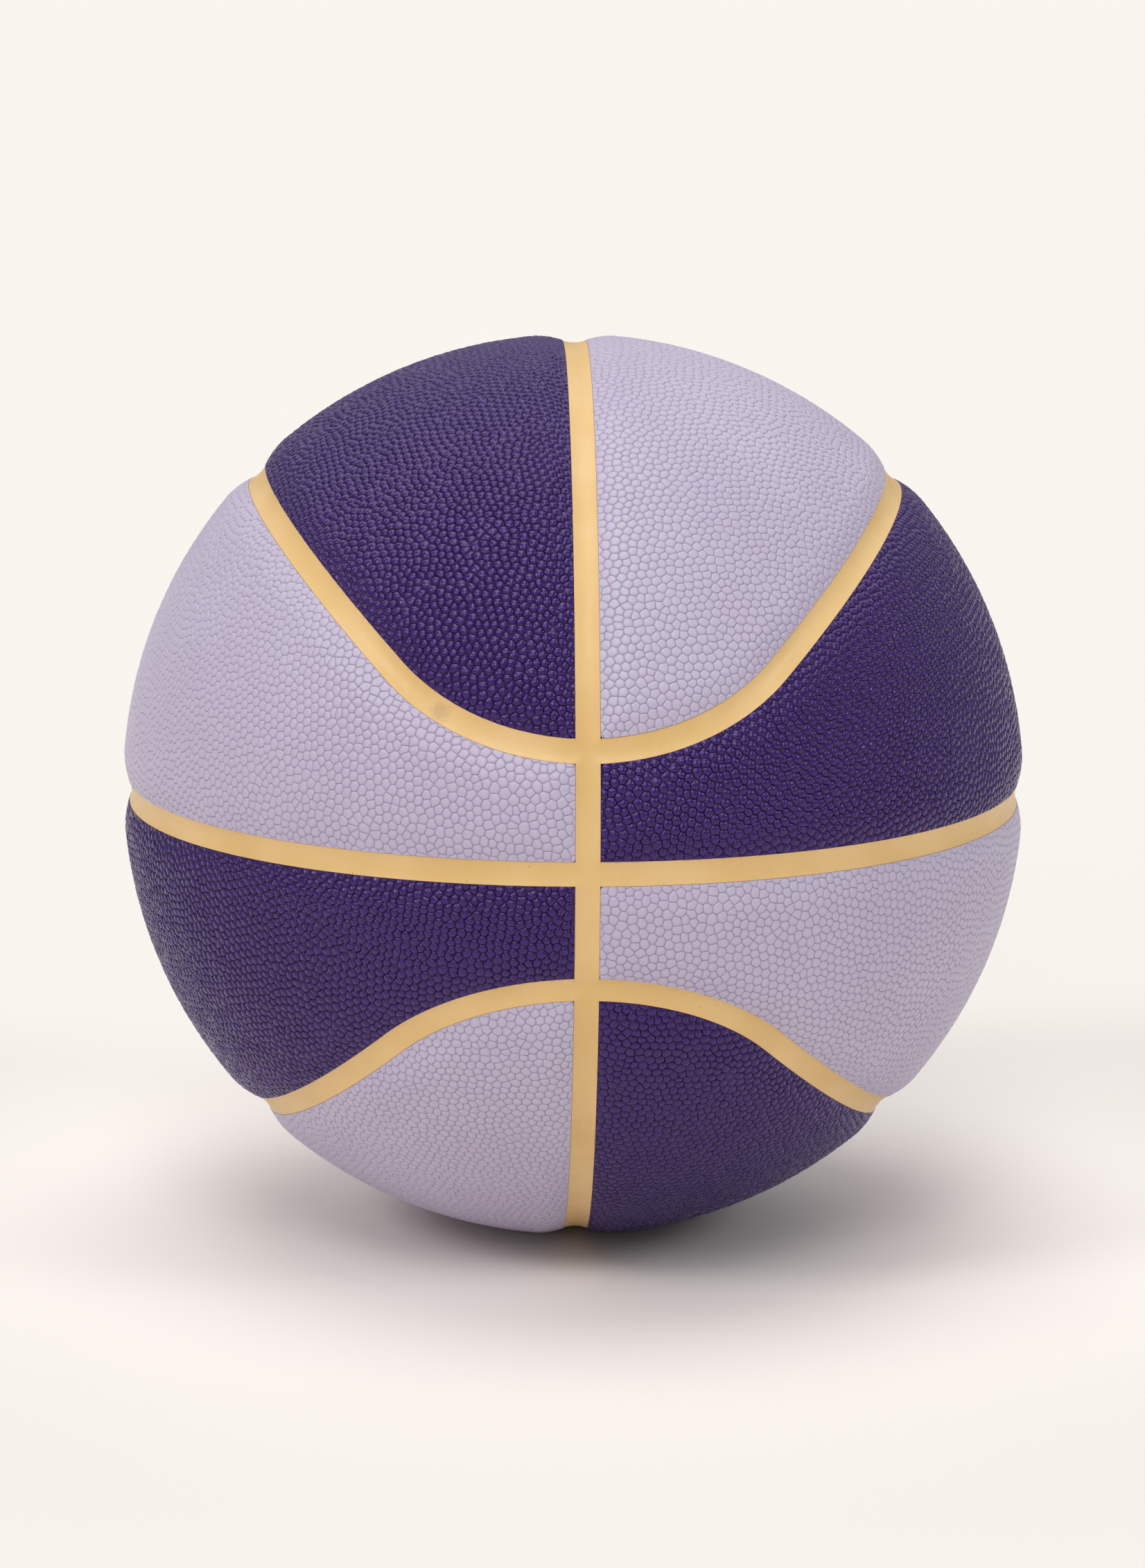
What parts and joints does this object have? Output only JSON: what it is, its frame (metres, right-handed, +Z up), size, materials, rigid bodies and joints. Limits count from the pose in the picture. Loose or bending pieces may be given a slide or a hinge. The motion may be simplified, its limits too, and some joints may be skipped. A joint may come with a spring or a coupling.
{
  "type": "basketball",
  "caption": "Inflated pebbled basketball with a laminated two-tone cover, sunk seam strips, a wound and rubber-coated bladder and a needle valve for bouncing, passing and shooting.",
  "frame": {"origin": "centre of the ball, which is also the centre of its bounding box", "axes": "+Z up through the poles of the seam layout, -Y towards the front, where meridian and equator cross, +X to the right of a viewer who faces the front; Y is the axis about which the seams are arranged: the planes of the meridian, the equator and the four arms of the loops all hold it; the valve points along -X, 9 degrees below the equator"},
  "size_m": [0.239, 0.2384, 0.2392],
  "materials": {
    "dark_panel": "pebbled composite, dark purple, satin gloss",
    "light_panel": "pebbled composite, pale lilac, satin",
    "seam_strip": "smooth pale gold rubber, satin",
    "carcass": "plain dark rubber",
    "winding": "wound undyed thread set in latex",
    "bladder": "smooth black butyl rubber",
    "valve_rubber": "moulded dark rubber, matt",
    "valve_plug": "moulded black rubber, satin"
  },
  "bodies": {
    "root": {"bladder": "bladder", "valve_housing": "valve_rubber", "valve_plug": "valve_plug", "thread_winding": "winding", "carcass": "carcass", "meridian_strip": "seam_strip", "equator_strip_left": "seam_strip", "equator_strip_right": "seam_strip", "upper_loop_strip_left": "seam_strip", "upper_loop_strip_right": "seam_strip", "lower_loop_strip_left": "seam_strip", "lower_loop_strip_right": "seam_strip", "top_cap_panel_left": "dark_panel", "upper_band_panel_right": "dark_panel", "lower_band_panel_left": "dark_panel", "bottom_cap_panel_right": "dark_panel", "top_cap_panel_right": "light_panel", "upper_band_panel_left": "light_panel", "lower_band_panel_right": "light_panel", "bottom_cap_panel_left": "light_panel"}
  },
  "joints": []
}
